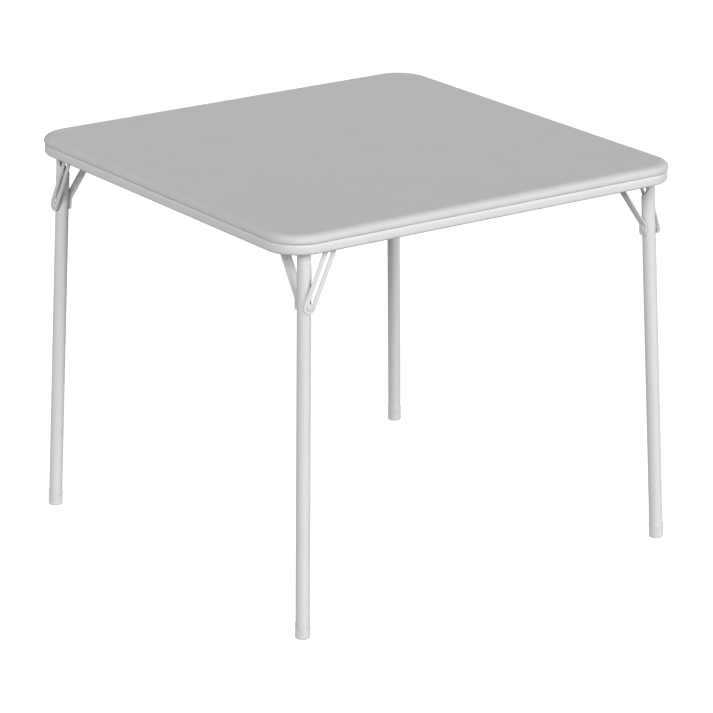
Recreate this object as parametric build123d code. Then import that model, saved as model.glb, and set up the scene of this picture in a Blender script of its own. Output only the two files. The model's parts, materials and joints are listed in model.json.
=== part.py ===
from build123d import *
from math import atan2, cos, degrees, hypot, radians, sin, tan
import os

# A folding card table, in millimetres: a padded square top on a rolled steel rail, and four tube
# legs that fold under it. Each leg swings towards the next corner, so the four lie round the rim
# like a pinwheel. The origin is on the floor under the middle of the top, and +Z is up.
# One corner is modelled, at low X and low Y, and turned about Z for the other three.

# The whole table
side = 864.0
top_height = 736.0
pad_height = 16.0
corner_radius = 66.0
corner_turns = {"front": 0, "right": 90, "back": 180, "left": 270}

# The padded top: a hardboard panel under foam, in a vinyl cover stapled beneath
cover_wall = 0.8
cover_return = 36.0
edge_roll_width = 16.0
edge_roll_height = 9.0
cover_tuck_radius = 3.0
panel_thickness = 5.0
panel_inset = 3.0

# The rail, rolled from sheet, with a flange on top and a curl below
rail_sheet = 1.0
rail_inset = 1.0
rail_height = 19.2
rail_flange_width = 29.0
rail_shoulder_radius = 2.5
rail_curl_radius = 6.0
rail_lip_width = 7.0

# Screws up through the flange, and staples in the cover
screw_shank_radius = 1.75
screw_head_radius = 4.0
screw_head_height = 1.6
screw_head_round = 0.8
screw_slot_length = 4.0
screw_slot_width = 0.8
screw_length = 5.4
screw_inset = 15.0
screw_step = 230.0
screw_play = 0.2
staple_crown = 10.0
staple_wire = 0.7
staple_leg = 3.0
staple_inset = 33.0
staple_step = 62.0

# The legs
leg_radius = 12.5
leg_wall = 1.2
foot_from_end = 33.5
foot_from_side = 10.8
splay_along = 1.96
splay_across = 2.0
hinge_drop = 16.0
leg_end_radius = 12.0
leg_cut_from_axis = -3.0
leg_cut_top_drop = 23.0
leg_cut_foot_drop = 40.0

# The foot caps
cap_wall = 0.8
cap_height = 28.0
cap_floor = 4.0
cap_edge_radius = 3.5
cap_play = 0.05

# The slotted link hangs from the bracket, and its slot slides over a rivet on the leg
rivet_drop = 100.0
link_width = 24.0
link_sheet = 2.5
link_top_radius = 10.5
link_shoulder_drop = 14.0
slot_width = 8.0
slot_top_drop = 9.5
slot_rivet_play = 0.1
slot_collar_height = 0.9
slot_collar_radius = 6.0
slot_head_radius = 6.5
slot_head_height = 2.0
brace_rivet_radius = 3.0
brace_rivet_head_radius = 5.5
brace_rivet_head_height = 1.8
spacer_length = 1.7
spacer_radius = 5.5

# The bent brace
brace_width = 19.5
brace_sheet = 2.5
brace_below_rivet = 11.0
brace_above_rivet = 10.0
brace_reach = 59.85
brace_tab_drop = 17.0
brace_tab_radius = 8.0
brace_bend_radius = 6.0
brace_corner_radius = 6.0
brace_tab_taper = 8.0
brace_rib_width = 7.0
brace_rib_height = 1.0
brace_rib_margin = 14.0
brace_rib_round = 0.6

# The hinge bracket and its rivets
bracket_sheet = 1.8
bracket_edge = 4.6
bracket_past_link = 10.8932
bracket_past_brace = 1.4158
bracket_flare_along = 84.0
bracket_neck_along = 44.0
bracket_corner_radius = 5.0
lug_radius = 8.0
pivot_radius = 3.0
pivot_head_radius = 4.6
pivot_head_height = 1.3
pivot_play = 0.08
face_gap = 0.3
link_pivot_along = 45.5
link_pivot_head_height = 1.1
bracket_rivet_radius = 2.0
bracket_rivet_head_radius = 3.8
bracket_rivet_head_height = 1.2
bracket_rivet_inset = 9.0
bracket_rivet_end_along = 9.0
bracket_rivet_end_across = 8.0
bracket_rivet_step_along = 41.0
bracket_rivet_step_across = 26.0
bracket_neck_to_rivet = 6.0

# A rivet's head is rounded over by this share of its height, and one overrun serves every cut
head_round_share = 0.7
overrun = 20.0

half = side / 2
rim_width = (edge_roll_width + corner_radius) / 2
seam_height = top_height - pad_height
rail_bottom_height = seam_height - rail_height
hinge_height = seam_height - hinge_drop
panel_low = seam_height + cover_wall
flange_low = seam_height - rail_sheet
bracket_plate_low = flange_low - bracket_sheet
hinge_along = foot_from_end + hinge_height * tan(radians(splay_along)) / cos(radians(splay_across))
hinge_across = foot_from_side + hinge_height * tan(radians(splay_across))
leg_length = hinge_height / cos(radians(splay_along)) / cos(radians(splay_across))

# Where the hinge is: X along the fold, Y along the hinge line and inwards, Z nearly up
hinge_place = Pos(hinge_along - half, hinge_across - half, hinge_height) * Rot(-splay_across, 0, 0)
leg_place = hinge_place * Rot(0, splay_along, 0)

# The link runs from its pivot on the bracket down to the rivet on the leg
rivet_along = -rivet_drop * sin(radians(splay_along))
rivet_below = rivet_drop * cos(radians(splay_along))
link_reach = hypot(link_pivot_along - rivet_along, rivet_below)
link_lean = degrees(atan2(link_pivot_along - rivet_along, rivet_below))
folded_reach = rivet_drop - link_pivot_along
link_place = hinge_place * Pos(link_pivot_along, 0, 0) * Rot(0, link_lean, 0)

# Faces along the hinge line, from the leg's axis: outwards is negative
spacer_face = -leg_radius - spacer_length
collar_face = spacer_face - face_gap
link_inner_face = collar_face - slot_collar_height - slot_rivet_play
link_outer_face = link_inner_face - link_sheet
link_lug_face = link_outer_face - face_gap
leg_lug_face = -leg_radius - face_gap
brace_tab_face = brace_reach + brace_sheet / 2
brace_lug_face = brace_tab_face + face_gap

# The bracket reaches past the lugs that it carries, and its end rivets keep to its ends
bracket_reach_along = hinge_along + link_pivot_along + lug_radius + bracket_past_link
bracket_reach_across = hinge_across + brace_lug_face + bracket_sheet + bracket_past_brace
last_rivet_along = bracket_reach_along - bracket_rivet_end_along
last_rivet_across = bracket_reach_across - bracket_rivet_end_across
bracket_rivets_along = (last_rivet_along - bracket_rivet_step_along, last_rivet_along)
bracket_rivets_across = (last_rivet_across - bracket_rivet_step_across, last_rivet_across)
bracket_neck_across = bracket_rivets_across[0] - bracket_neck_to_rivet
print("hinge point", hinge_along - half, hinge_across - half, hinge_height)
print("leg folds by", 90 + splay_along, "its link by", 90 + link_lean)
print("link pivot to rivet, open and folded", link_reach, folded_reach)


def around(section):
    """Sweep a section, drawn as (distance outwards from the table's side, height), round the rim."""
    path = RectangleRounded(side, side, corner_radius).wire()
    start = path @ 0
    heading = path % 0
    outwards = heading.cross(Vector(0, 0, 1))
    if outwards.dot(start) < 0:
        outwards = outwards * -1
    upright = Plane(origin=(start.X, start.Y, 0), x_dir=outwards, z_dir=outwards.cross(Vector(0, 0, 1)))
    return sweep(upright * section, path=path)


def slab(inset, low, high):
    """A flat square plate with rounded corners, set in from the table's sides."""
    width = side - 2 * inset
    plate = extrude(RectangleRounded(width, width, corner_radius - inset), high - low)
    return Pos(0, 0, low) * plate


def rod(radius, low, high):
    """A round bar along Z."""
    return Pos(0, 0, low) * Cylinder(radius, high - low, align=(Align.CENTER, Align.CENTER, Align.MIN))


def pin(radius, low, high):
    """A round bar along Y, the hinge line."""
    return Rot(-90, 0, 0) * rod(radius, low, high)


def pad(skin):
    """The padded top's outer form, shrunk by a skin: a rolled edge round a flat middle."""
    low = seam_height + skin
    high = top_height - skin
    roll_low = top_height - edge_roll_height
    tuck = cover_tuck_radius - skin
    outline = [
        Line((-rim_width, low), (-cover_tuck_radius, low)),
        CenterArc((-cover_tuck_radius, seam_height + cover_tuck_radius), tuck, -90, 90),
        Line((-skin, seam_height + cover_tuck_radius), (-skin, roll_low)),
        EllipticalCenterArc(
            (-edge_roll_width, roll_low),
            edge_roll_width - skin,
            edge_roll_height - skin,
            start_angle=0,
            arc_size=90,
        ),
        Line((-edge_roll_width, high), (-rim_width, high)),
        Line((-rim_width, high), (-rim_width, low)),
    ]
    rim = around(make_face(Wire(outline)))
    return rim + slab(rim_width - cover_wall, low, high)


def side_rows(inset, step, width):
    """Places in centred rows along the four sides, as many as fit between the corners' curves."""
    each_way = int((half - corner_radius - width) / step)
    places = []
    for turn in corner_turns.values():
        for index in range(-each_way, each_way + 1):
            places.append(Rot(0, 0, turn) * Pos(index * step, inset - half, 0))
    return places


def screw_places():
    return side_rows(screw_inset, screw_step, screw_head_radius)


def top_panel():
    return slab(panel_inset, panel_low, panel_low + panel_thickness)


def foam_pad():
    return pad(cover_wall) - slab(panel_inset, panel_low - overrun, panel_low + panel_thickness)


def vinyl_cover():
    skin = pad(0) - pad(cover_wall) - slab(cover_return, seam_height - overrun, panel_low)
    hole = rod(screw_shank_radius + screw_play, seam_height - overrun, panel_low)
    return skin - [place * hole for place in screw_places()]


def apron_rail():
    wall = -rail_inset
    flange_end = wall - rail_flange_width
    lip_end = wall - rail_lip_width
    outside = FilletPolyline(
        (flange_end, seam_height),
        (wall, seam_height),
        (wall, rail_bottom_height),
        (lip_end, rail_bottom_height),
        radius=(rail_shoulder_radius, rail_curl_radius),
    )
    inside = FilletPolyline(
        (lip_end, rail_bottom_height + rail_sheet),
        (wall - rail_sheet, rail_bottom_height + rail_sheet),
        (wall - rail_sheet, flange_low),
        (flange_end, flange_low),
        radius=(rail_curl_radius - rail_sheet, rail_shoulder_radius - rail_sheet),
    )
    ends = [Line(outside @ 1, inside @ 0), Line(inside @ 1, outside @ 0)]
    rail = around(make_face(Wire([*outside.edges(), *inside.edges(), *ends])))
    screw_hole = rod(screw_shank_radius + screw_play, flange_low - overrun, seam_height + overrun)
    holes = [place * screw_hole for place in screw_places()]
    rivet_hole = rod(bracket_rivet_radius + pivot_play, flange_low - overrun, seam_height + overrun)
    for turn in corner_turns.values():
        holes += [Rot(0, 0, turn) * place * rivet_hole for place in bracket_rivet_places()]
    return rail - holes


def panel_screws():
    low = flange_low - screw_head_height
    head = rod(screw_head_radius, low, flange_low)
    head = fillet(head.edges().group_by(Axis.Z)[0], screw_head_round)
    for turn in (0, 90):
        slot = Box(screw_slot_length, screw_slot_width, screw_head_height)
        head -= Pos(0, 0, low) * Rot(0, 0, turn) * slot
    screw = head + rod(screw_shank_radius, flange_low, flange_low + screw_length)
    return Compound([place * screw for place in screw_places()])


def cover_staples():
    crown = Pos(0, 0, seam_height - staple_wire / 2) * Box(staple_crown, staple_wire, staple_wire)
    tine = Pos(staple_crown / 2 - staple_wire / 2, 0, seam_height + staple_leg / 2)
    other = Pos(staple_wire / 2 - staple_crown / 2, 0, seam_height + staple_leg / 2)
    leg = Box(staple_wire, staple_wire, staple_leg)
    staple = crown + tine * leg + other * leg
    places = side_rows(staple_inset, staple_step, staple_crown)
    return Compound([place * staple for place in places])


def bracket_rivet_places():
    """The bracket's rivets, in the low corner: two in each of the rail's flanges."""
    along = [Pos(a - half, bracket_rivet_inset - half, 0) for a in bracket_rivets_along]
    across = [Pos(bracket_rivet_inset - half, b - half, 0) for b in bracket_rivets_across]
    return along + across


def bracket_rivets():
    head = rod(bracket_rivet_head_radius, bracket_plate_low - bracket_rivet_head_height, bracket_plate_low)
    head = fillet(head.edges().group_by(Axis.Z)[0], bracket_rivet_head_height * head_round_share)
    rivet = head + rod(bracket_rivet_radius, bracket_plate_low, seam_height)
    rivets = []
    for turn in corner_turns.values():
        rivets += [Rot(0, 0, turn) * place * rivet for place in bracket_rivet_places()]
    return Compound(rivets)


def across(face, low, high):
    """Thicken a face, drawn in X and Z, along the hinge line from low to high."""
    return Pos(0, high, 0) * extrude(Plane.XZ * face, high - low)


def lug(along, low, high):
    """A tab of the bracket, round at its lower end, square to the hinge line."""
    face = Circle(lug_radius) + Pos(0, overrun / 2) * Rectangle(2 * lug_radius, overrun)
    return across(Pos(along, 0) * face, low, high)


def hinge_bracket():
    corners = [
        (bracket_neck_along, bracket_edge),
        (bracket_reach_along, bracket_edge),
        (bracket_reach_along, hinge_across - leg_radius),
        (bracket_flare_along, bracket_reach_across),
        (bracket_edge, bracket_reach_across),
        (bracket_edge, bracket_neck_across),
    ]
    outline = make_face(Polyline([(a - half, b - half) for a, b in corners], close=True))
    outline = fillet(outline.vertices(), bracket_corner_radius)
    plate = Pos(0, 0, bracket_plate_low) * extrude(outline, bracket_sheet)
    plate &= slab(bracket_edge, bracket_plate_low, flange_low)
    leg_lug = lug(0, leg_lug_face - bracket_sheet, leg_lug_face)
    brace_lug = lug(0, brace_lug_face, brace_lug_face + bracket_sheet)
    link_lug = lug(link_pivot_along, link_lug_face - bracket_sheet, link_lug_face)
    bracket = plate + hinge_place * (leg_lug + brace_lug + link_lug)
    sky = Pos(0, 0, flange_low + overrun) * Box(side, side, 2 * overrun)
    holes = [hinge_place * pin(pivot_radius, link_outer_face, brace_lug_face + overrun)]
    holes += [link_place * pin(pivot_radius, link_lug_face - overrun, link_lug_face)]
    hole = rod(bracket_rivet_radius + pivot_play, bracket_plate_low - overrun, flange_low + overrun)
    holes += [place * hole for place in bracket_rivet_places()]
    return bracket - sky - holes


def headed_pin(radius, head_radius, head_height, low, high, heads):
    """A rivet along the hinge line, between its heads' inner faces, with a head at each end named."""
    rivet = pin(radius, low, high)
    if "low" in heads:
        head = pin(head_radius, low - head_height, low)
        rivet += fillet(head.edges().group_by(Axis.Y)[0], head_height * head_round_share)
    if "high" in heads:
        head = pin(head_radius, high, high + head_height)
        rivet += fillet(head.edges().group_by(Axis.Y)[-1], head_height * head_round_share)
    return rivet


def leg_pivot_rivet():
    inner_wall = leg_radius - leg_wall
    seat = -(inner_wall**2 - pivot_head_radius**2) ** 0.5 + face_gap
    rivet = headed_pin(
        pivot_radius,
        pivot_head_radius,
        pivot_head_height,
        leg_lug_face - bracket_sheet,
        seat,
        ("low", "high"),
    )
    return hinge_place * rivet


def brace_pivot_rivet():
    rivet = headed_pin(
        pivot_radius,
        pivot_head_radius,
        pivot_head_height,
        brace_tab_face - brace_sheet - face_gap,
        brace_lug_face + bracket_sheet,
        ("low", "high"),
    )
    return hinge_place * rivet


def link_pivot_rivet():
    rivet = headed_pin(
        pivot_radius,
        pivot_head_radius,
        link_pivot_head_height,
        link_lug_face - bracket_sheet,
        link_inner_face + face_gap,
        ("low", "high"),
    )
    return link_place * rivet


def leg_tube():
    """The tube in its own frame: up the leg is +Z, from the hinge point."""
    end_of_tube = -leg_length + cap_floor
    tube = rod(leg_radius, end_of_tube, leg_end_radius) - rod(leg_radius - leg_wall, -leg_length, overrun)
    keep = rod(leg_radius + overrun, -leg_length, 0) + pin(leg_end_radius, -overrun, overrun)
    slant = Polyline(
        (leg_radius + overrun, -leg_cut_foot_drop - overrun * slant_slope()),
        (leg_cut_from_axis, -leg_cut_top_drop),
        (leg_cut_from_axis, overrun),
        (leg_radius + overrun, overrun),
        close=True,
    )
    mouth = extrude(Plane.XZ * make_face(slant), leg_radius + overrun, both=True)
    tube = (tube & keep) - Rot(0, 0, 45) * mouth
    tube -= pin(pivot_radius + pivot_play, -overrun, 0)
    tube -= Pos(0, 0, -rivet_drop) * pin(brace_rivet_radius, -overrun, overrun)
    return leg_place * tube


def slant_slope():
    """How far the leg's slanted mouth drops for each millimetre outwards."""
    return (leg_cut_foot_drop - leg_cut_top_drop) / (leg_radius - leg_cut_from_axis)


def foot_cap():
    outside = leg_radius + cap_wall
    cap = rod(outside, -leg_length, -leg_length + cap_height)
    rim_round = cap_wall / 2
    cap = fillet(cap.edges().group_by(Axis.Z)[-1], rim_round)
    sunk = Pos(0, 0, -leg_length) * Cylinder(outside, 2 * cap_edge_radius)
    cap += fillet(sunk.edges().group_by(Axis.Z)[0], cap_edge_radius)
    cap -= rod(leg_radius + cap_play, -leg_length + cap_floor, overrun)
    ground = Pos(0, 0, -overrun / 2) * Box(2 * side, 2 * side, overrun)
    return leg_place * cap - ground


def link_spacer():
    """The washer that keeps the link off the tube, hollowed to sit on it."""
    spacer = pin(spacer_radius, spacer_face, 0) - pin(brace_rivet_radius, spacer_face, 0)
    spacer = Pos(0, 0, -rivet_drop) * spacer - rod(leg_radius, -leg_length, 0)
    return leg_place * spacer


def brace_rivet():
    rivet = headed_pin(
        brace_rivet_radius,
        brace_rivet_head_radius,
        brace_rivet_head_height,
        spacer_face,
        leg_radius + brace_sheet,
        ("high",),
    )
    return leg_place * Pos(0, 0, -rivet_drop) * rivet


def slot_rivet():
    """The headed rivet in the slot, at the slot's lower end while the leg stands."""
    radius = slot_width / 2 - slot_rivet_play
    rivet = headed_pin(
        radius,
        slot_head_radius,
        slot_head_height,
        link_outer_face - slot_rivet_play,
        collar_face,
        ("low",),
    )
    rivet += pin(slot_collar_radius, collar_face - slot_collar_height, collar_face)
    return link_place * Pos(0, 0, -link_reach) * rivet


def brace_strap():
    """The bent brace in the leg's frame: flat on the tube, then slanting in to its pivot tab.
    A rib is pressed up along the slant, with its hollow on the other face."""
    low_line = leg_radius + brace_sheet / 2
    foot = Vector(0, low_line, -rivet_drop - brace_below_rivet)
    low_bend = Vector(0, low_line, -rivet_drop + brace_above_rivet)
    high_bend = Vector(0, brace_reach, -brace_tab_drop)
    top = Vector(0, brace_reach, brace_tab_radius)
    spine = FilletPolyline(foot, low_bend, high_bend, top, radius=brace_bend_radius)
    start = Plane(origin=spine @ 0, x_dir=(1, 0, 0), z_dir=spine % 0)
    strap = sweep(start * Rectangle(brace_width, brace_sheet), path=spine)
    taper_low = -brace_tab_drop
    sides = Polyline(
        (-brace_width / 2, foot.Z),
        (-brace_width / 2, taper_low),
        (-brace_tab_radius, taper_low + brace_tab_taper),
        (-brace_tab_radius, 0),
        (brace_tab_radius, 0),
        (brace_tab_radius, taper_low + brace_tab_taper),
        (brace_width / 2, taper_low),
        (brace_width / 2, foot.Z),
        close=True,
    )
    outline = make_face(sides)
    outline = fillet(outline.vertices().group_by(Axis.Y)[0], brace_corner_radius) + Circle(brace_tab_radius)
    strap &= across(outline, 0, brace_reach + overrun)
    run = high_bend - low_bend
    slant = Plane(origin=low_bend + run / 2, x_dir=(1, 0, 0), z_dir=run.cross(Vector(1, 0, 0))).location
    rib_outline = Rot(0, 0, 90) * SlotOverall(run.length - 2 * brace_rib_margin, brace_rib_width)
    rib = extrude(rib_outline, brace_rib_height)
    rib = fillet(rib.edges().group_by(Axis.Z)[-1], brace_rib_round)
    strap += slant * Pos(0, 0, brace_sheet / 2) * rib
    strap -= slant * Pos(0, 0, -brace_sheet / 2) * rib
    strap -= Pos(0, 0, -rivet_drop) * pin(brace_rivet_radius, -overrun, leg_radius + overrun)
    hinge_hole = pin(pivot_radius + pivot_play, brace_reach - overrun, brace_reach + overrun)
    return leg_place * strap - hinge_place * hinge_hole


def slotted_link():
    """The link in its own frame: its pivot at the origin, and its rivet straight below."""
    slot_high = -slot_top_drop - slot_width / 2
    rings = [
        CenterArc((0, 0), link_top_radius, 0, 360),
        CenterArc((0, -link_shoulder_drop), link_width / 2, 0, 360),
        CenterArc((0, -link_reach), link_width / 2, 0, 360),
    ]
    slot = Pos(0, (slot_high - link_reach) / 2) * Rot(0, 0, 90) * SlotCenterToCenter(
        slot_high + link_reach, slot_width
    )
    face = make_hull(rings) - slot - Circle(pivot_radius + pivot_play)
    return link_place * across(face, link_outer_face, link_inner_face)


whole_pieces = {
    "vinyl_cover": vinyl_cover,
    "foam_pad": foam_pad,
    "top_panel": top_panel,
    "apron_rail": apron_rail,
    "panel_screws": panel_screws,
    "cover_staples": cover_staples,
    "bracket_rivets": bracket_rivets,
}
corner_pieces = {
    "hinge_bracket": hinge_bracket,
    "leg_pivot_rivet": leg_pivot_rivet,
    "brace_pivot_rivet": brace_pivot_rivet,
    "link_pivot_rivet": link_pivot_rivet,
    "leg_tube": leg_tube,
    "foot_cap": foot_cap,
    "brace_strap": brace_strap,
    "link_spacer": link_spacer,
    "brace_rivet": brace_rivet,
    "slotted_link": slotted_link,
    "slot_rivet": slot_rivet,
}

os.makedirs("parts", exist_ok=True)
for name, make in whole_pieces.items():
    export_step(make(), f"parts/{name}.step")
for name, make in corner_pieces.items():
    piece = make()
    for corner, turn in corner_turns.items():
        export_step(Rot(0, 0, turn) * piece, f"parts/{name}_{corner}.step")
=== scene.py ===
import json
import math

import bmesh
import bpy
from mathutils import Matrix, Vector


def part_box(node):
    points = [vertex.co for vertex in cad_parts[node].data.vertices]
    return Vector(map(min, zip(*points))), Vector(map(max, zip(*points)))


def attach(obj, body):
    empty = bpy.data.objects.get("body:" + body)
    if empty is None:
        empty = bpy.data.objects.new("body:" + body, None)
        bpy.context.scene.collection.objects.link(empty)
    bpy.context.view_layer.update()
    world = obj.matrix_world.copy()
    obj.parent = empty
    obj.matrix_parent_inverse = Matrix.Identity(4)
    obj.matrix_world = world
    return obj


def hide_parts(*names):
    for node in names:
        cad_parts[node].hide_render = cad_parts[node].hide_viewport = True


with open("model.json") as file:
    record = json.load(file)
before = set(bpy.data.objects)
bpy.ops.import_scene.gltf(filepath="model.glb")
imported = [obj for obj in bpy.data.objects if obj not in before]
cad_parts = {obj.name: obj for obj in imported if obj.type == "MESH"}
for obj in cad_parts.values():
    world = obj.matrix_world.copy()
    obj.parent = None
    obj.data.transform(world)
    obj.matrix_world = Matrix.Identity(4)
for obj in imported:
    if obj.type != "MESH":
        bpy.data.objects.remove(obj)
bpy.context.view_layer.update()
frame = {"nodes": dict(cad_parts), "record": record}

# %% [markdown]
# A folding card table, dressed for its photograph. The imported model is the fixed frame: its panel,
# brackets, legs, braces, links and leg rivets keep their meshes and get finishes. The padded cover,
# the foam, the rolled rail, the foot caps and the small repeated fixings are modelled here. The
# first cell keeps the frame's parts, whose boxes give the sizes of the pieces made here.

MM = 0.001
CORNERS = {"front": 0, "right": 90, "back": 180, "left": 270}

# %% [markdown]
# The photograph was taken from far away with a long lens. The view was found by fitting a camera to
# the table's edges and feet: it looks down a little, past the nearest corner. Azimuth is measured
# from +Y towards +X, and the focal length is in pixels of the photograph.

# %% Camera
PHOTO_WIDTH = 713
FOCAL_PIXELS = 3571.3
VIEW_AZIMUTH = math.radians(34.84)
VIEW_DROP = math.radians(18.61)
VIEW_DISTANCE = 6.6906
AIM_HEIGHT = 0.4
AIM_RIGHT = 0.0082
AIM_UP = -0.0677
SENSOR_WIDTH = 36.0
CLIP_END = 100.0


def view_axes():
    """The camera's own directions: ahead, to the right and up."""
    ahead = Vector((math.sin(VIEW_AZIMUTH), math.cos(VIEW_AZIMUTH), 0)) * math.cos(VIEW_DROP)
    ahead.z = -math.sin(VIEW_DROP)
    right = Vector((math.cos(VIEW_AZIMUTH), -math.sin(VIEW_AZIMUTH), 0))
    return ahead, right, right.cross(ahead)


def add_camera():
    """Stand the camera where the photograph was taken from."""
    ahead, right, up = view_axes()
    data = bpy.data.cameras.new("camera")
    data.sensor_width = SENSOR_WIDTH
    data.lens = FOCAL_PIXELS * SENSOR_WIDTH / PHOTO_WIDTH
    data.clip_end = CLIP_END
    camera = bpy.data.objects.new("camera", data)
    bpy.context.collection.objects.link(camera)
    camera.location = (
        Vector((0, 0, AIM_HEIGHT)) - ahead * VIEW_DISTANCE + right * AIM_RIGHT + up * AIM_UP
    )
    camera.rotation_euler = (math.pi / 2 - VIEW_DROP, 0, -VIEW_AZIMUTH)
    bpy.context.scene.camera = camera
    print("lens", round(data.lens, 2), "mm at", tuple(round(v, 3) for v in camera.location))


add_camera()

# %% [markdown]
# The light is a plain white studio with three broad lamps: one from a little left of the camera,
# one from the right, and a weak one from high up behind the table. They are sun lamps, whose light
# is even over the whole table, with a wide spread that keeps the shadows' edges soft.

# %% Lamps
LAMPS = {
    "left_lamp": {"towards": (-0.764, -0.645, 0.42), "strength": 2.66, "spread": 40},
    "right_lamp": {"towards": (0.577, -0.818, 0.34), "strength": 2.15, "spread": 40},
    "back_lamp": {"towards": (0.500, 0.866, 1.43), "strength": 0.42, "spread": 45},
}


def add_lamp(name, towards, strength, spread):
    """A lamp as far off as the sun: towards points at it, and its spread in degrees softens it."""
    data = bpy.data.lights.new(name, "SUN")
    data.energy = strength
    data.angle = math.radians(spread)
    lamp = bpy.data.objects.new(name, data)
    bpy.context.collection.objects.link(lamp)
    lamp.rotation_euler = Vector(towards).to_track_quat("Z", "Y").to_euler()


for lamp_name, lamp in LAMPS.items():
    add_lamp(lamp_name, **lamp)
print("lamps", {name: lamp["strength"] for name, lamp in LAMPS.items()})

# %% [markdown]
# The sky is weak and even, so that no side of the table is black, and the floor is a wide pale
# sheet. To the eye both are plain white. That white could come from more light, but then the table
# would clip. So Light Path tells a look from a cast of light: a look gets white, and what reaches
# the table stays weak. The floor keeps the table's shadow.

# %% Sky and floor
SKY_STRENGTH = 0.06
FLOOR_GREY = 0.28
FLOOR_GLOW = 0.96
FLOOR_ROUGHNESS = 0.9
FLOOR_HALF = 40.0


def seen_directly(nodes, links):
    """One where the eye, a reflection or a clear surface looks, and zero for the light cast."""
    path = nodes.new("ShaderNodeLightPath")
    either = nodes.new("ShaderNodeMath")
    either.operation = "MAXIMUM"
    links.new(path.outputs["Is Camera Ray"], either.inputs[0])
    links.new(path.outputs["Is Glossy Ray"], either.inputs[1])
    any_of = nodes.new("ShaderNodeMath")
    any_of.operation = "MAXIMUM"
    links.new(either.outputs[0], any_of.inputs[0])
    links.new(path.outputs["Is Transmission Ray"], any_of.inputs[1])
    return any_of.outputs[0]


def add_sky():
    """A sky that is white to look at and gives only a weak, even light."""
    world = bpy.data.worlds.new("white studio")
    bpy.context.scene.world = world
    world.use_nodes = True
    nodes, links = world.node_tree.nodes, world.node_tree.links
    strength = nodes.new("ShaderNodeMapRange")
    strength.inputs["To Min"].default_value = SKY_STRENGTH
    strength.inputs["To Max"].default_value = 1.0
    links.new(seen_directly(nodes, links), strength.inputs["Value"])
    background = nodes["Background"]
    background.inputs["Color"].default_value = (1, 1, 1, 1)
    links.new(strength.outputs["Result"], background.inputs["Strength"])


def add_floor():
    """A wide pale floor, staged so that it stays out of the table's own model."""
    mesh = bpy.data.meshes.new("floor")
    side = FLOOR_HALF
    corners = [(-side, -side, 0), (side, -side, 0), (side, side, 0), (-side, side, 0)]
    mesh.from_pydata(corners, [], [(0, 1, 2, 3)])
    floor = bpy.data.objects.new("floor", mesh)
    bpy.context.collection.objects.link(floor)
    material = bpy.data.materials.new("pale floor")
    material.use_nodes = True
    nodes, links = material.node_tree.nodes, material.node_tree.links
    shader = nodes["Principled BSDF"]
    shader.inputs["Base Color"].default_value = (FLOOR_GREY, FLOOR_GREY, FLOOR_GREY, 1)
    shader.inputs["Roughness"].default_value = FLOOR_ROUGHNESS
    shader.inputs["Specular IOR Level"].default_value = 0.0
    shader.inputs["Emission Color"].default_value = (1, 1, 1, 1)
    glow = nodes.new("ShaderNodeMath")
    glow.operation = "MULTIPLY"
    glow.inputs[1].default_value = FLOOR_GLOW
    links.new(seen_directly(nodes, links), glow.inputs[0])
    links.new(glow.outputs[0], shader.inputs["Emission Strength"])
    mesh.materials.append(material)


add_sky()
add_floor()
bpy.context.scene.view_settings.view_transform = "Standard"
print("sky", SKY_STRENGTH, "floor", 2 * FLOOR_HALF, "m wide")

# %% [markdown]
# Every finish is a small node tree on Object coordinates. A finish has three things: a colour that
# wanders a little, a roughness that wanders a little, and a bump at the size of the real grain.
# One helper makes them all, so each finish is told by its numbers.

# %% A helper for finishes
CLOUD_SCALE = 9
CLOUD_DETAIL = 6
CLOUD_LOW, CLOUD_HIGH = 0.3, 0.7
GLOSS_DRIFT = 0.04


def finish(
    name, colour, roughness, grain, depth, drift=0.02, metallic=0.0, shine=0.3, cells=False
):
    """A material: grain is the bump's size and depth its height, both in millimetres.

    Drift is the share by which the colour wanders, shine is the specular level, and cells give
    pebbles in place of an even grain.
    """
    material = bpy.data.materials.new(name)
    material.use_nodes = True
    nodes, links = material.node_tree.nodes, material.node_tree.links
    shader = nodes["Principled BSDF"]
    shader.inputs["Metallic"].default_value = metallic
    shader.inputs["Specular IOR Level"].default_value = shine
    place = nodes.new("ShaderNodeTexCoord").outputs["Object"]

    clouds = nodes.new("ShaderNodeTexNoise")
    clouds.inputs["Scale"].default_value = CLOUD_SCALE
    clouds.inputs["Detail"].default_value = CLOUD_DETAIL
    links.new(place, clouds.inputs["Vector"])
    shade = nodes.new("ShaderNodeValToRGB")
    dark, light = shade.color_ramp.elements
    dark.position, light.position = CLOUD_LOW, CLOUD_HIGH
    dark.color = (*[c * (1 - drift) for c in colour], 1)
    light.color = (*[min(c * (1 + drift), 1) for c in colour], 1)
    links.new(clouds.outputs["Fac"], shade.inputs["Fac"])
    links.new(shade.outputs["Color"], shader.inputs["Base Color"])

    gloss = nodes.new("ShaderNodeMapRange")
    gloss.inputs["From Min"].default_value = CLOUD_LOW
    gloss.inputs["From Max"].default_value = CLOUD_HIGH
    gloss.inputs["To Min"].default_value = roughness * (1 - GLOSS_DRIFT)
    gloss.inputs["To Max"].default_value = roughness * (1 + GLOSS_DRIFT)
    links.new(clouds.outputs["Fac"], gloss.inputs["Value"])
    links.new(gloss.outputs["Result"], shader.inputs["Roughness"])

    texture = nodes.new("ShaderNodeTexVoronoi" if cells else "ShaderNodeTexNoise")
    texture.inputs["Scale"].default_value = 1 / (grain * MM)
    links.new(place, texture.inputs["Vector"])
    bump = nodes.new("ShaderNodeBump")
    bump.inputs["Strength"].default_value = 1.0
    bump.inputs["Distance"].default_value = depth * MM
    links.new(texture.outputs["Distance" if cells else "Fac"], bump.inputs["Height"])
    links.new(bump.outputs["Normal"], shader.inputs["Normal"])
    return material


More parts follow.
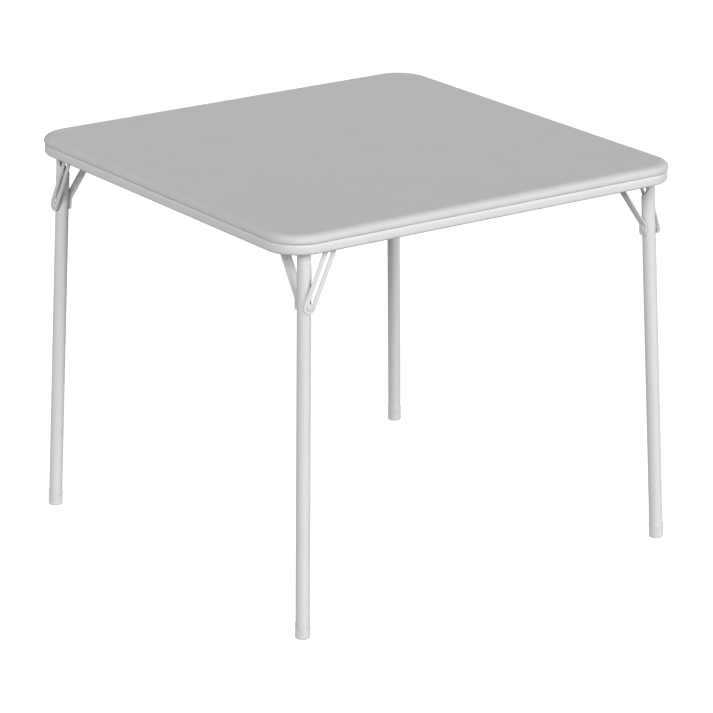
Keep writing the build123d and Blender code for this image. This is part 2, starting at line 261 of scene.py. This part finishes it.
# %% [markdown]
# The whole table is one pale grey. The cover is a matt vinyl with a fine pebble grain, the steel
# has a smoother baked paint, and the caps are plain moulded plastic. What is hidden is as such
# tables have it: brown hardboard, pale foam and zinc-plated rivets, screws and staples.

# %% The finishes
PALE_GREY = (0.585, 0.585, 0.588)
FINISHES = {
    "cover_vinyl": finish(
        "grained vinyl", PALE_GREY, 0.66, 1.1, 0.035, drift=0.012, shine=0.16, cells=True
    ),
    "painted_steel": finish(
        "baked paint", (0.63, 0.63, 0.632), 0.52, 2.6, 0.012, drift=0.012, shine=0.2
    ),
    "foot_plastic": finish("moulded plastic", (0.61, 0.61, 0.612), 0.50, 0.8, 0.012),
    "plated_steel": finish(
        "zinc plate", (0.56, 0.56, 0.57), 0.38, 0.9, 0.008, drift=0.08, metallic=0.75
    ),
    "hardboard": finish("pressed board", (0.25, 0.145, 0.080), 0.72, 1.4, 0.06, drift=0.22),
    "foam": finish("open foam", (0.72, 0.66, 0.46), 0.92, 1.6, 0.4, drift=0.05, cells=True),
}
for entry in frame["record"]["subparts"]:
    node = frame["nodes"][entry["node"]]
    node.data.materials.clear()
    node.data.materials.append(FINISHES[entry["material_slot"]])
print("finishes", list(FINISHES))

# %% [markdown]
# The rivets that join the leg's parts are painted over with the frame, so on them the zinc gives
# way to paint. They keep a little more gloss than the sheet, as paint runs thin over a round head.

# %% Painted rivets
PAINTED_RIVETS = (
    "slot_rivet",
    "brace_rivet",
    "link_spacer",
    "link_pivot_rivet",
    "leg_pivot_rivet",
    "brace_pivot_rivet",
)
rivet_paint = finish("paint over rivets", (0.60, 0.60, 0.602), 0.44, 1.2, 0.010, shine=0.25)
for kind in PAINTED_RIVETS:
    for corner in CORNERS:
        frame["nodes"][kind + "_" + corner].data.materials[0] = rivet_paint
print("painted", len(PAINTED_RIVETS) * len(CORNERS), "rivets and spacers")

# %% [markdown]
# The cover is one sheet of vinyl pulled over the foam, round the board's edge and stapled beneath.
# It could be inflated by a cloth simulation, but here it is stretched flat over a stiff board, so
# its section is known: a flat middle, a soft roll at the edge, a tuck into the seam and a short
# return. That section is walked round the rounded square as rings of points. This cell makes one
# ring.

# %% The shape of a ring round the top
COVER_LOW, COVER_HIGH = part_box("vinyl_cover")
COVER_HALF = COVER_HIGH[0]
COVER_TOP = COVER_HIGH[2]
COVER_SEAM = COVER_LOW[2]
CORNER_RADIUS = 66 * MM
INNER_RADIUS = 22 * MM
CORNER_STEPS = 16
SIDE_STEPS = 36


def turned(x, y, angle, height):
    """A point turned about the table's upright middle line."""
    across = x * math.cos(angle) - y * math.sin(angle)
    ahead = x * math.sin(angle) + y * math.cos(angle)
    return Vector((across, ahead, height))


def ring_points(inset, height):
    """Points all the way round the rounded square, set in from its sides."""
    reach = COVER_HALF - inset
    radius = max(CORNER_RADIUS - inset, min(INNER_RADIUS, reach / 2))
    straight = reach - radius
    points = []
    for turn in range(4):
        angle = turn * math.pi / 2
        for step in range(SIDE_STEPS):
            along = -straight + 2 * straight * step / SIDE_STEPS
            points.append(turned(along, -reach, angle, height))
        for step in range(CORNER_STEPS):
            bend = -math.pi / 2 + math.pi / 2 * step / CORNER_STEPS
            x = straight + radius * math.cos(bend)
            y = -straight + radius * math.sin(bend)
            points.append(turned(x, y, angle, height))
    return points


print("ring", len(ring_points(0, 0)), "points")

# %% [markdown]
# Seen from its end, the padded edge is two curves. A small one comes up out of the seam, where the
# vinyl is pulled in tight, and a wide flat one rolls over on to the top, where foam fills it. Both
# are parts of circles or ovals, so a few numbers give them. The insets of the top's rings grow
# towards the middle, where nothing bends.

# %% The section of the padded edge
ROLL_WIDTH = 16 * MM
ROLL_HEIGHT = 9 * MM
TUCK_RADIUS = 5 * MM
TUCK_TURN = 62
TUCK_STEPS = 8
ROLL_STEPS = 15
TOP_INSETS = (24, 34, 48, 66, 92, 130, 180, 240, 300, 350, 390)


def arc(count, start, end):
    """Angles evenly spaced between two ends, in degrees, both ends included."""
    return [math.radians(start + (end - start) * i / (count - 1)) for i in range(count)]


def pad_edge(skin, turn):
    """The edge's section as (inset, height) pairs, from the tuck up and over to the middle.

    Skin is how far the section lies under the cover's face, and turn how far the tuck comes round.
    """
    profile = []
    low = COVER_SEAM + TUCK_RADIUS * math.sin(math.radians(TUCK_TURN))
    reach = TUCK_RADIUS - skin
    for a in arc(TUCK_STEPS, -turn, 0):
        profile.append((TUCK_RADIUS - reach * math.cos(a), low + reach * math.sin(a)))
    rise = COVER_TOP - ROLL_HEIGHT
    for a in arc(ROLL_STEPS, 0, 90):
        inset = ROLL_WIDTH - (ROLL_WIDTH - skin) * math.cos(a)
        profile.append((inset, rise + (ROLL_HEIGHT - skin) * math.sin(a)))
    for inset in TOP_INSETS:
        profile.append((inset * MM, COVER_TOP - skin))
    return profile


print("edge", len(pad_edge(0, TUCK_TURN)), "rings")

# %% [markdown]
# Where the foam carries the vinyl the top gives by about a tenth of a millimetre, in uneven waves,
# so that a low light shows a real sheet and not a plane. A slow wave and a quicker one are added
# up. A bump in the finish could do it too, but the mesh is also kept without its finish.

# %% How the foam gives
GIVE = 0.10 * MM
GIVE_FADE = 14
WAVE_PEAK = 1.5


def foam_give(point, depth):
    """How far the top sinks at a point: slow uneven waves that die out at the rolled edge."""
    x, y = point.x / COVER_HALF, point.y / COVER_HALF
    slow = math.sin(5.1 * x + 1.3) * math.cos(4.3 * y - 0.4)
    waves = slow + 0.5 * math.sin(11.0 * x - 7.0 * y)
    edge = min(1.0, max(0.0, (1 - max(abs(x), abs(y))) * GIVE_FADE - 0.5))
    return depth * edge * (waves - WAVE_PEAK) / 2


sampled = [Vector((x, y, 0)) * COVER_HALF / 20 for x in range(-20, 21) for y in range(-20, 21)]
print("deepest give", round(min(foam_give(p, GIVE) for p in sampled) / MM, 3), "mm")

# %% [markdown]
# The rings are joined into one skin, ring to ring with four-sided faces. Solidify then gives the
# skin its wall, inwards, so that the outer size stays what it was. A closed skin, such as the
# foam's, needs no wall.

# %% Helpers that join rings into a piece
def new_piece(name, mesh, smooth=False):
    """Put a bmesh in an object at the origin, with its faces turned outwards."""
    bmesh.ops.recalc_face_normals(mesh, faces=mesh.faces)
    data = bpy.data.meshes.new(name)
    mesh.to_mesh(data)
    mesh.free()
    if smooth:
        for face in data.polygons:
            face.use_smooth = True
    piece = bpy.data.objects.new(name, data)
    bpy.context.collection.objects.link(piece)
    return piece


def ringed_mesh(name, profile, give):
    """Join the profile's rings into a skin, and close an end that lies in the table's middle."""
    mesh = bmesh.new()
    rings = []
    for inset, height in profile:
        ring = []
        for point in ring_points(inset, height):
            if height > COVER_TOP - ROLL_HEIGHT / 2:
                point.z += foam_give(point, give)
            ring.append(mesh.verts.new(point))
        rings.append(ring)
    for lower, upper in zip(rings, rings[1:]):
        for i in range(len(lower)):
            j = (i + 1) % len(lower)
            mesh.faces.new((lower[i], lower[j], upper[j], upper[i]))
    for inset, ring in ((profile[0][0], rings[0]), (profile[-1][0], rings[-1])):
        if inset > COVER_HALF / 2:
            mesh.faces.new(ring)
    return new_piece(name, mesh, smooth=True)


def thicken(piece, wall):
    """Give an open skin its wall, inwards."""
    solidify = piece.modifiers.new("wall", "SOLIDIFY")
    solidify.thickness = wall
    solidify.offset = -1
    graph = bpy.context.evaluated_depsgraph_get()
    data = bpy.data.meshes.new_from_object(piece.evaluated_get(graph))
    piece.modifiers.clear()
    piece.data = data


# %% [markdown]
# The cover starts under the board with its return, comes out at the seam and goes up round the
# padded edge to the middle of the top. It is thin vinyl, so it gets a wall of its own thickness.

# %% The padded cover
SKIN = 0.8 * MM
RETURN = 36 * MM
SEAM_INSET = TUCK_RADIUS * (1 - math.cos(math.radians(TUCK_TURN)))
SEAM_EASE = 1.2 * MM
SEAM_LIP = 0.35 * MM
HAIR = 0.05 * MM
COVER_TUCK = TUCK_TURN - 2
cover_section = [
    (RETURN, COVER_SEAM),
    (RETURN / 2, COVER_SEAM),
    (SEAM_INSET + SEAM_EASE, COVER_SEAM),
    (SEAM_INSET + SEAM_LIP, COVER_SEAM + HAIR),
    *pad_edge(0, COVER_TUCK),
]
cover = ringed_mesh("padded_cover", cover_section, GIVE)
thicken(cover, SKIN)
cover.data.materials.append(FINISHES["cover_vinyl"])
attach(cover, "table_top")
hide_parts("vinyl_cover")
print("cover", len(cover.data.polygons), "faces")

# %% [markdown]
# Under the vinyl lies one sheet of foam, glued to the board and pressed down round its edge. It
# fills what the cover leaves, so its section is the cover's own, set in by the vinyl's thickness,
# with the board's step cut out beneath. It never shows on a whole table, but a soft part is still
# made soft. It stays a hair clear of the board and the vinyl, so that no two faces fight.

# %% The foam
PANEL_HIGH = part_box("top_panel")[1]
PANEL_INSET = COVER_HALF - PANEL_HIGH[0]
FOAM_SKIN = SKIN + HAIR
FOAM_TUCK = TUCK_TURN - 18
FOAM_INSETS = (390, 240, 92, 30)
foam_low = PANEL_HIGH[2] + HAIR
foam_section = [(inset * MM, foam_low) for inset in FOAM_INSETS]
foam_section.append((PANEL_INSET - HAIR, foam_low))
foam_section += pad_edge(FOAM_SKIN, FOAM_TUCK)
foam = ringed_mesh("foam_sheet", foam_section, GIVE)
foam.data.materials.append(FINISHES["foam"])
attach(foam, "table_top")
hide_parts("foam_pad")
print("foam", len(foam.data.polygons), "faces")

# %% [markdown]
# The rail under the top is rolled from steel sheet. Its shoulder turns in softly under the padded
# edge, which makes the deep dark seam of the real table, and its foot curls in so that no raw edge
# shows. It is walked round the same rounded square as the cover, a millimetre inside it.

# %% The rolled rail
RAIL_LOW, RAIL_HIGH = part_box("apron_rail")
RAIL_INSET = COVER_HALF - RAIL_HIGH[0]
SHOULDER_RADIUS = 11 * MM
SHOULDER_TURN = 36
CURL = 6 * MM
LIP = 7 * MM
SHEET = 1.0 * MM
FLANGE_POINTS = ((29, 0), (15, 0), (3.4, 0), (2.5, 0.1))
SHOULDER_DROP = 0.4 * MM
BEND_STEPS = 9


def rail_section():
    """The rail's outer line: along the flange, round the shoulder, down the wall and the curl."""
    top, foot = RAIL_HIGH[2], RAIL_LOW[2]
    section = [(RAIL_INSET + inset * MM, top - drop * MM) for inset, drop in FLANGE_POINTS]
    start = top - SHOULDER_DROP - SHOULDER_RADIUS * math.sin(math.radians(SHOULDER_TURN))
    for a in arc(BEND_STEPS, SHOULDER_TURN, 0):
        inset = RAIL_INSET + SHOULDER_RADIUS * (1 - math.cos(a))
        section.append((inset, start + SHOULDER_RADIUS * math.sin(a)))
    for a in arc(BEND_STEPS, 0, -90):
        inset = RAIL_INSET + CURL * (1 - math.cos(a))
        section.append((inset, foot + CURL * (1 + math.sin(a))))
    section.append((RAIL_INSET + LIP, foot))
    return section


rail = ringed_mesh("rolled_rail", rail_section(), 0)
thicken(rail, SHEET)
rail.data.materials.append(FINISHES["painted_steel"])
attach(rail, "table_top")
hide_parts("apron_rail")
print("rail", len(rail.data.polygons), "faces")

# %% [markdown]
# Screws, staples and rivets repeat round the underside, so Geometry Nodes place them. The tree
# takes one small fixing, lines copies of it up in a row along one side, and turns the row to all
# four sides. Its inputs are the row's own sizes, so a longer side or a closer step is one number.

# %% A tree that repeats a fixing round the sides
def side_rows_tree(material):
    """The tree itself: a row of one fixing, turned to every side and coated."""
    title = "rows round the sides of " + material.name
    tree = bpy.data.node_groups.new(title, "GeometryNodeTree")
    face = tree.interface
    face.new_socket("Fixing", in_out="INPUT", socket_type="NodeSocketGeometry")
    face.new_socket("Copies in a row", in_out="INPUT", socket_type="NodeSocketInt")
    face.new_socket("First place", in_out="INPUT", socket_type="NodeSocketVector")
    face.new_socket("Step", in_out="INPUT", socket_type="NodeSocketVector")
    face.new_socket("Fixings", in_out="OUTPUT", socket_type="NodeSocketGeometry")
    nodes, links = tree.nodes, tree.links
    given = nodes.new("NodeGroupInput")
    row = nodes.new("GeometryNodeMeshLine")
    links.new(given.outputs["Copies in a row"], row.inputs["Count"])
    links.new(given.outputs["First place"], row.inputs["Start Location"])
    links.new(given.outputs["Step"], row.inputs["Offset"])
    one_side = nodes.new("GeometryNodeInstanceOnPoints")
    links.new(row.outputs["Mesh"], one_side.inputs["Points"])
    links.new(given.outputs["Fixing"], one_side.inputs["Instance"])
    sides = nodes.new("GeometryNodePoints")
    sides.inputs["Count"].default_value = len(CORNERS)
    index = nodes.new("GeometryNodeInputIndex")
    quarter = nodes.new("ShaderNodeMath")
    quarter.operation = "MULTIPLY"
    quarter.inputs[1].default_value = math.pi / 2
    links.new(index.outputs["Index"], quarter.inputs[0])
    turn = nodes.new("ShaderNodeCombineXYZ")
    links.new(quarter.outputs["Value"], turn.inputs["Z"])
    all_sides = nodes.new("GeometryNodeInstanceOnPoints")
    links.new(sides.outputs["Points"], all_sides.inputs["Points"])
    links.new(one_side.outputs["Instances"], all_sides.inputs["Instance"])
    links.new(turn.outputs["Vector"], all_sides.inputs["Rotation"])
    real = nodes.new("GeometryNodeRealizeInstances")
    links.new(all_sides.outputs["Instances"], real.inputs["Geometry"])
    coat = nodes.new("GeometryNodeSetMaterial")
    coat.inputs["Material"].default_value = material
    links.new(real.outputs["Geometry"], coat.inputs["Geometry"])
    out = nodes.new("NodeGroupOutput")
    links.new(coat.outputs["Geometry"], out.inputs["Fixings"])
    return tree


# %% [markdown]
# The tree runs as a modifier on one fixing. Its inputs are set by their identifiers, because names
# may repeat. The result is kept as a plain mesh, which is what leaves Blender with the table.

# %% Repeat a fixing and keep it
def repeat_round(piece, copies, first, step, node):
    """Run the tree on one fixing, keep the result as a plain mesh, and let it ride with the top."""
    tree = side_rows_tree(FINISHES["plated_steel"])
    inputs = [item for item in tree.interface.items_tree if item.in_out == "INPUT"]
    sockets = {item.name: item.identifier for item in inputs}
    repeat = piece.modifiers.new("rows", "NODES")
    repeat.node_group = tree
    repeat[sockets["Copies in a row"]] = copies
    repeat[sockets["First place"]] = first
    repeat[sockets["Step"]] = step
    graph = bpy.context.evaluated_depsgraph_get()
    data = bpy.data.meshes.new_from_object(piece.evaluated_get(graph))
    piece.modifiers.clear()
    piece.data = data
    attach(piece, "table_top")
    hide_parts(node)
    print(piece.name, len(data.polygons), "faces")


# %% [markdown]
# A screw or a rivet is turned from a short section, as on a lathe: each point of the section goes
# once round the middle line. An even ring needs no more than that, and a recess or a flute is made
# by a rule that draws some of a ring's points in.

# %% A helper for turned shapes
def lathe(mesh, section, centre, steps, radius_at=None):
    """Turn (radius, height) pairs about an upright line; a zero radius closes the pole."""
    rings = []
    for radius, height in section:
        if radius == 0:
            rings.append([mesh.verts.new(centre + Vector((0, 0, height)))])
            continue
        ring = []
        for i in range(steps):
            angle = 2 * math.pi * i / steps
            reach = radius_at(radius, height, angle) if radius_at else radius
            place = Vector((reach * math.cos(angle), reach * math.sin(angle), height))
            ring.append(mesh.verts.new(centre + place))
        rings.append(ring)
    for lower, upper in zip(rings, rings[1:]):
        for i in range(steps):
            j = (i + 1) % steps
            corners = [lower[i % len(lower)], lower[j % len(lower)]]
            corners += [upper[j % len(upper)], upper[i % len(upper)]]
            mesh.faces.new(list(dict.fromkeys(corners)))


# %% [markdown]
# Three screws along each side go up through the rail's flange into the board. They have pan heads
# with a cross recess, seen only from below. The recess is a plus, sunk in the head's face.

# %% Screws up through the flange
SCREW_INSET = 15 * MM
SCREW_STEP = 230 * MM
SCREWS_A_SIDE = 3
SCREW_STEPS = 24
HEAD_RADIUS = 4.0 * MM
HEAD_HEIGHT = 1.6 * MM
RECESS_ARM = 2.0 * MM
RECESS_FLOOR = 0.9 * MM
RECESS_HALF_WIDTH = 0.3
RECESS_WAIST = 0.35
SHANK_RADIUS = 1.75 * MM
SHANK_LENGTH = 5.4 * MM
FLANGE_LOW = RAIL_HIGH[2] - SHEET


def cross_drawn(radius, height, angle):
    """Draw the recess's ring in between its four arms, and leave every other ring round."""
    if height > -RECESS_FLOOR or radius > RECESS_ARM:
        return radius
    off_axis = abs((angle + math.pi / 4) % (math.pi / 2) - math.pi / 4)
    return radius * (1.0 if off_axis < RECESS_HALF_WIDTH else RECESS_WAIST)


def screw_section():
    """From the recess's floor out to the head's rim, round it, and up the shank."""
    section = [(0, -RECESS_FLOOR), (RECESS_ARM * 0.98, -RECESS_FLOOR - 0.01 * MM)]
    section.append((RECESS_ARM, -HEAD_HEIGHT))
    for a in arc(4, 60, 0):
        section.append((HEAD_RADIUS * math.cos(a) + 0.05 * MM, -HEAD_HEIGHT * math.sin(a)))
    return section + [(SHANK_RADIUS, 0), (SHANK_RADIUS, SHANK_LENGTH), (0, SHANK_LENGTH)]


screw_mesh = bmesh.new()
lathe(screw_mesh, screw_section(), Vector((0, 0, FLANGE_LOW)), SCREW_STEPS, cross_drawn)
screws = new_piece("flange_screws", screw_mesh)
first_screw = (-SCREW_STEP * (SCREWS_A_SIDE - 1) / 2, SCREW_INSET - COVER_HALF, 0)
repeat_round(screws, SCREWS_A_SIDE, first_screw, (SCREW_STEP, 0, 0), "panel_screws")

# %% [markdown]
# The cover's return is stapled up into the board. A staple is one bent wire: two tines, two small
# bends and the crown between them, which lies on the vinyl. Eleven stand along each side.

# %% Staples in the cover's return
STAPLE_INSET = 33 * MM
STAPLE_STEP = 62 * MM
STAPLES_A_SIDE = 11
STAPLE_HALF = 5 * MM
TINE = 3 * MM
WIRE = 0.35 * MM
WIRE_BEND = 0.6 * MM
WIRE_STEPS = 6


def bent_wire(mesh, points, radius):
    """A thin wire that follows points in the upright plane of X and Z, closed at both ends."""
    side = Vector((0, 1, 0))
    rings = []
    for k, point in enumerate(points):
        ahead = (points[min(k + 1, len(points) - 1)] - points[max(k - 1, 0)]).normalized()
        other = ahead.cross(side)
        ring = []
        for i in range(WIRE_STEPS):
            a = 2 * math.pi * i / WIRE_STEPS
            place = point + side * radius * math.cos(a) + other * radius * math.sin(a)
            ring.append(mesh.verts.new(place))
        rings.append(ring)
    for lower, upper in zip(rings, rings[1:]):
        for i in range(WIRE_STEPS):
            j = (i + 1) % WIRE_STEPS
            mesh.faces.new((lower[i], lower[j], upper[j], upper[i]))
    mesh.faces.new(rings[0])
    mesh.faces.new(rings[-1])


def staple_line():
    """The wire's middle line: down one tine, round its bend, along the crown and up again."""
    crown = COVER_SEAM - WIRE
    half_crown = STAPLE_HALF - WIRE
    bend_middle = WIRE_BEND / 3
    line = [
        (-half_crown, COVER_SEAM + TINE),
        (-half_crown, crown + WIRE_BEND),
        (-half_crown + bend_middle, crown + bend_middle),
        (-half_crown + WIRE_BEND, crown),
    ]
    line += [(-x, z) for x, z in reversed(line)]
    return [Vector((x, 0, z)) for x, z in line]


staple_mesh = bmesh.new()
bent_wire(staple_mesh, staple_line(), WIRE)
staples = new_piece("cover_stapling", staple_mesh)
first_staple = (-STAPLE_STEP * (STAPLES_A_SIDE - 1) / 2, STAPLE_INSET - COVER_HALF, 0)
repeat_round(staples, STAPLES_A_SIDE, first_staple, (STAPLE_STEP, 0, 0), "cover_staples")

# %% [markdown]
# Each corner's bracket is held by four rivets through the rail's flanges, two along each side. Here
# the four make one fixing, and the tree turns it to the other three corners.

# %% Rivets that hold the brackets
BRACKET_RIVETS = ((72, 9), (113, 9), (9, 66), (9, 92))
BRACKET_SHEET = 1.8 * MM
BRACKET_LOW = FLANGE_LOW - BRACKET_SHEET
RIVET_HEAD = 3.8 * MM
RIVET_DOME = 1.2 * MM
RIVET_SHANK = 2.0 * MM
RIVET_LENGTH = 2.8 * MM
RIVET_STEPS = 20


def rivet_section():
    """A domed head that hangs below height zero, and its shank above."""
    section = [(0, -RIVET_DOME)]
    for a in arc(5, 65, 0):
        section.append((RIVET_HEAD * math.cos(a), -RIVET_DOME * math.sin(a)))
    return section + [(RIVET_SHANK, 0), (RIVET_SHANK, RIVET_LENGTH), (0, RIVET_LENGTH)]


rivet_mesh = bmesh.new()
for along, across in BRACKET_RIVETS:
    place = Vector((along * MM - COVER_HALF, across * MM - COVER_HALF, BRACKET_LOW))
    lathe(rivet_mesh, rivet_section(), place, RIVET_STEPS)
rivets = new_piece("bracket_riveting", rivet_mesh)
repeat_round(rivets, 1, (0, 0, 0), (0, 0, 0), "bracket_rivets")

# %% [markdown]
# Each foot is a plastic cap pushed over the tube, with fine upright flutes that give it grip. The
# flutes could be a bump, but they show in the outline, so they are shape. They are pressed in from
# the cap's full width, so the cap never grows, and they fade out at both ends.

# %% The section and flutes of a foot cap
CAP_RADIUS = 13.3 * MM
CAP_HEIGHT = 28 * MM
CAP_FLOOR = 4 * MM
CAP_EDGE = 3.5 * MM
TUBE_RADIUS = 12.55 * MM
WALL_SHARES = (0.16, 0.2, 0.26, 0.5, 0.74, 0.82, 0.86)
FLUTES = 20
FLUTE_DEPTH = 0.7 * MM
FLUTE_FOOT = WALL_SHARES[0]
FLUTE_HEAD = WALL_SHARES[-1]
FLUTE_FADE = 14


def cap_section():
    """The cap's section: sole, rounded edge, wall, rim, and back down inside to its floor."""
    section = [(0, 0)]
    for a in arc(6, -90, 0):
        section.append((CAP_RADIUS - CAP_EDGE * (1 - math.cos(a)), CAP_EDGE * (1 + math.sin(a))))
    for share in WALL_SHARES:
        section.append((CAP_RADIUS, CAP_HEIGHT * share))
    rim = (CAP_RADIUS - TUBE_RADIUS) / 2
    for a in arc(5, 0, 180):
        radius = TUBE_RADIUS + rim + rim * math.cos(a)
        section.append((radius, CAP_HEIGHT - rim + rim * math.sin(a)))
    return section + [(TUBE_RADIUS, CAP_FLOOR), (0, CAP_FLOOR)]


def fluted(radius, height, angle):
    """Press the flutes into the cap's outer wall, fading out towards its edge and rim."""
    if radius < CAP_RADIUS - 0.01 * MM:
        return radius
    share = height / CAP_HEIGHT
    from_foot = max(0.0, (share - FLUTE_FOOT) * FLUTE_FADE)
    from_head = max(0.0, (FLUTE_HEAD - share) * FLUTE_FADE)
    fade = min(1.0, from_foot, from_head)
    return radius - FLUTE_DEPTH * fade * (0.5 + 0.5 * math.cos(FLUTES * angle))


print("cap section", len(cap_section()), "points")

# %% [markdown]
# A cap is turned on its leg's own line, which starts at the hinge under the top and leans by two
# degrees each way. Its sole is then cut level with the ground, so that the table stands flat. One
# corner is worked out, and the quarter turns give the others.

# %% The fluted foot caps
HINGE = Vector((-0.374393, -0.396616, 0.704))
SPLAY_ALONG = math.radians(1.96)
SPLAY_ACROSS = math.radians(2.0)
LEG_LENGTH = HINGE.z / math.cos(SPLAY_ALONG) / math.cos(SPLAY_ACROSS)
CAP_STEPS = FLUTES * 8


def add_cap(corner, degrees_round):
    """Turn one cap about the leg's line, level its sole, and let it ride on its leg."""
    mesh = bmesh.new()
    lathe(mesh, cap_section(), Vector((0, 0, -LEG_LENGTH)), CAP_STEPS, fluted)
    lean = Matrix.Rotation(-SPLAY_ACROSS, 4, "X") @ Matrix.Rotation(SPLAY_ALONG, 4, "Y")
    place = Matrix.Rotation(math.radians(degrees_round), 4, "Z") @ Matrix.Translation(HINGE) @ lean
    for vertex in mesh.verts:
        vertex.co = place @ vertex.co
        vertex.co.z = max(vertex.co.z, 0)
    cap = new_piece("fluted_cap_" + corner, mesh, smooth=True)
    cap.data.materials.append(FINISHES["foot_plastic"])
    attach(cap, "leg_" + corner)
    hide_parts("foot_cap_" + corner)
    return len(cap.data.polygons)


print("cap faces", [add_cap(corner, turn) for corner, turn in CORNERS.items()])
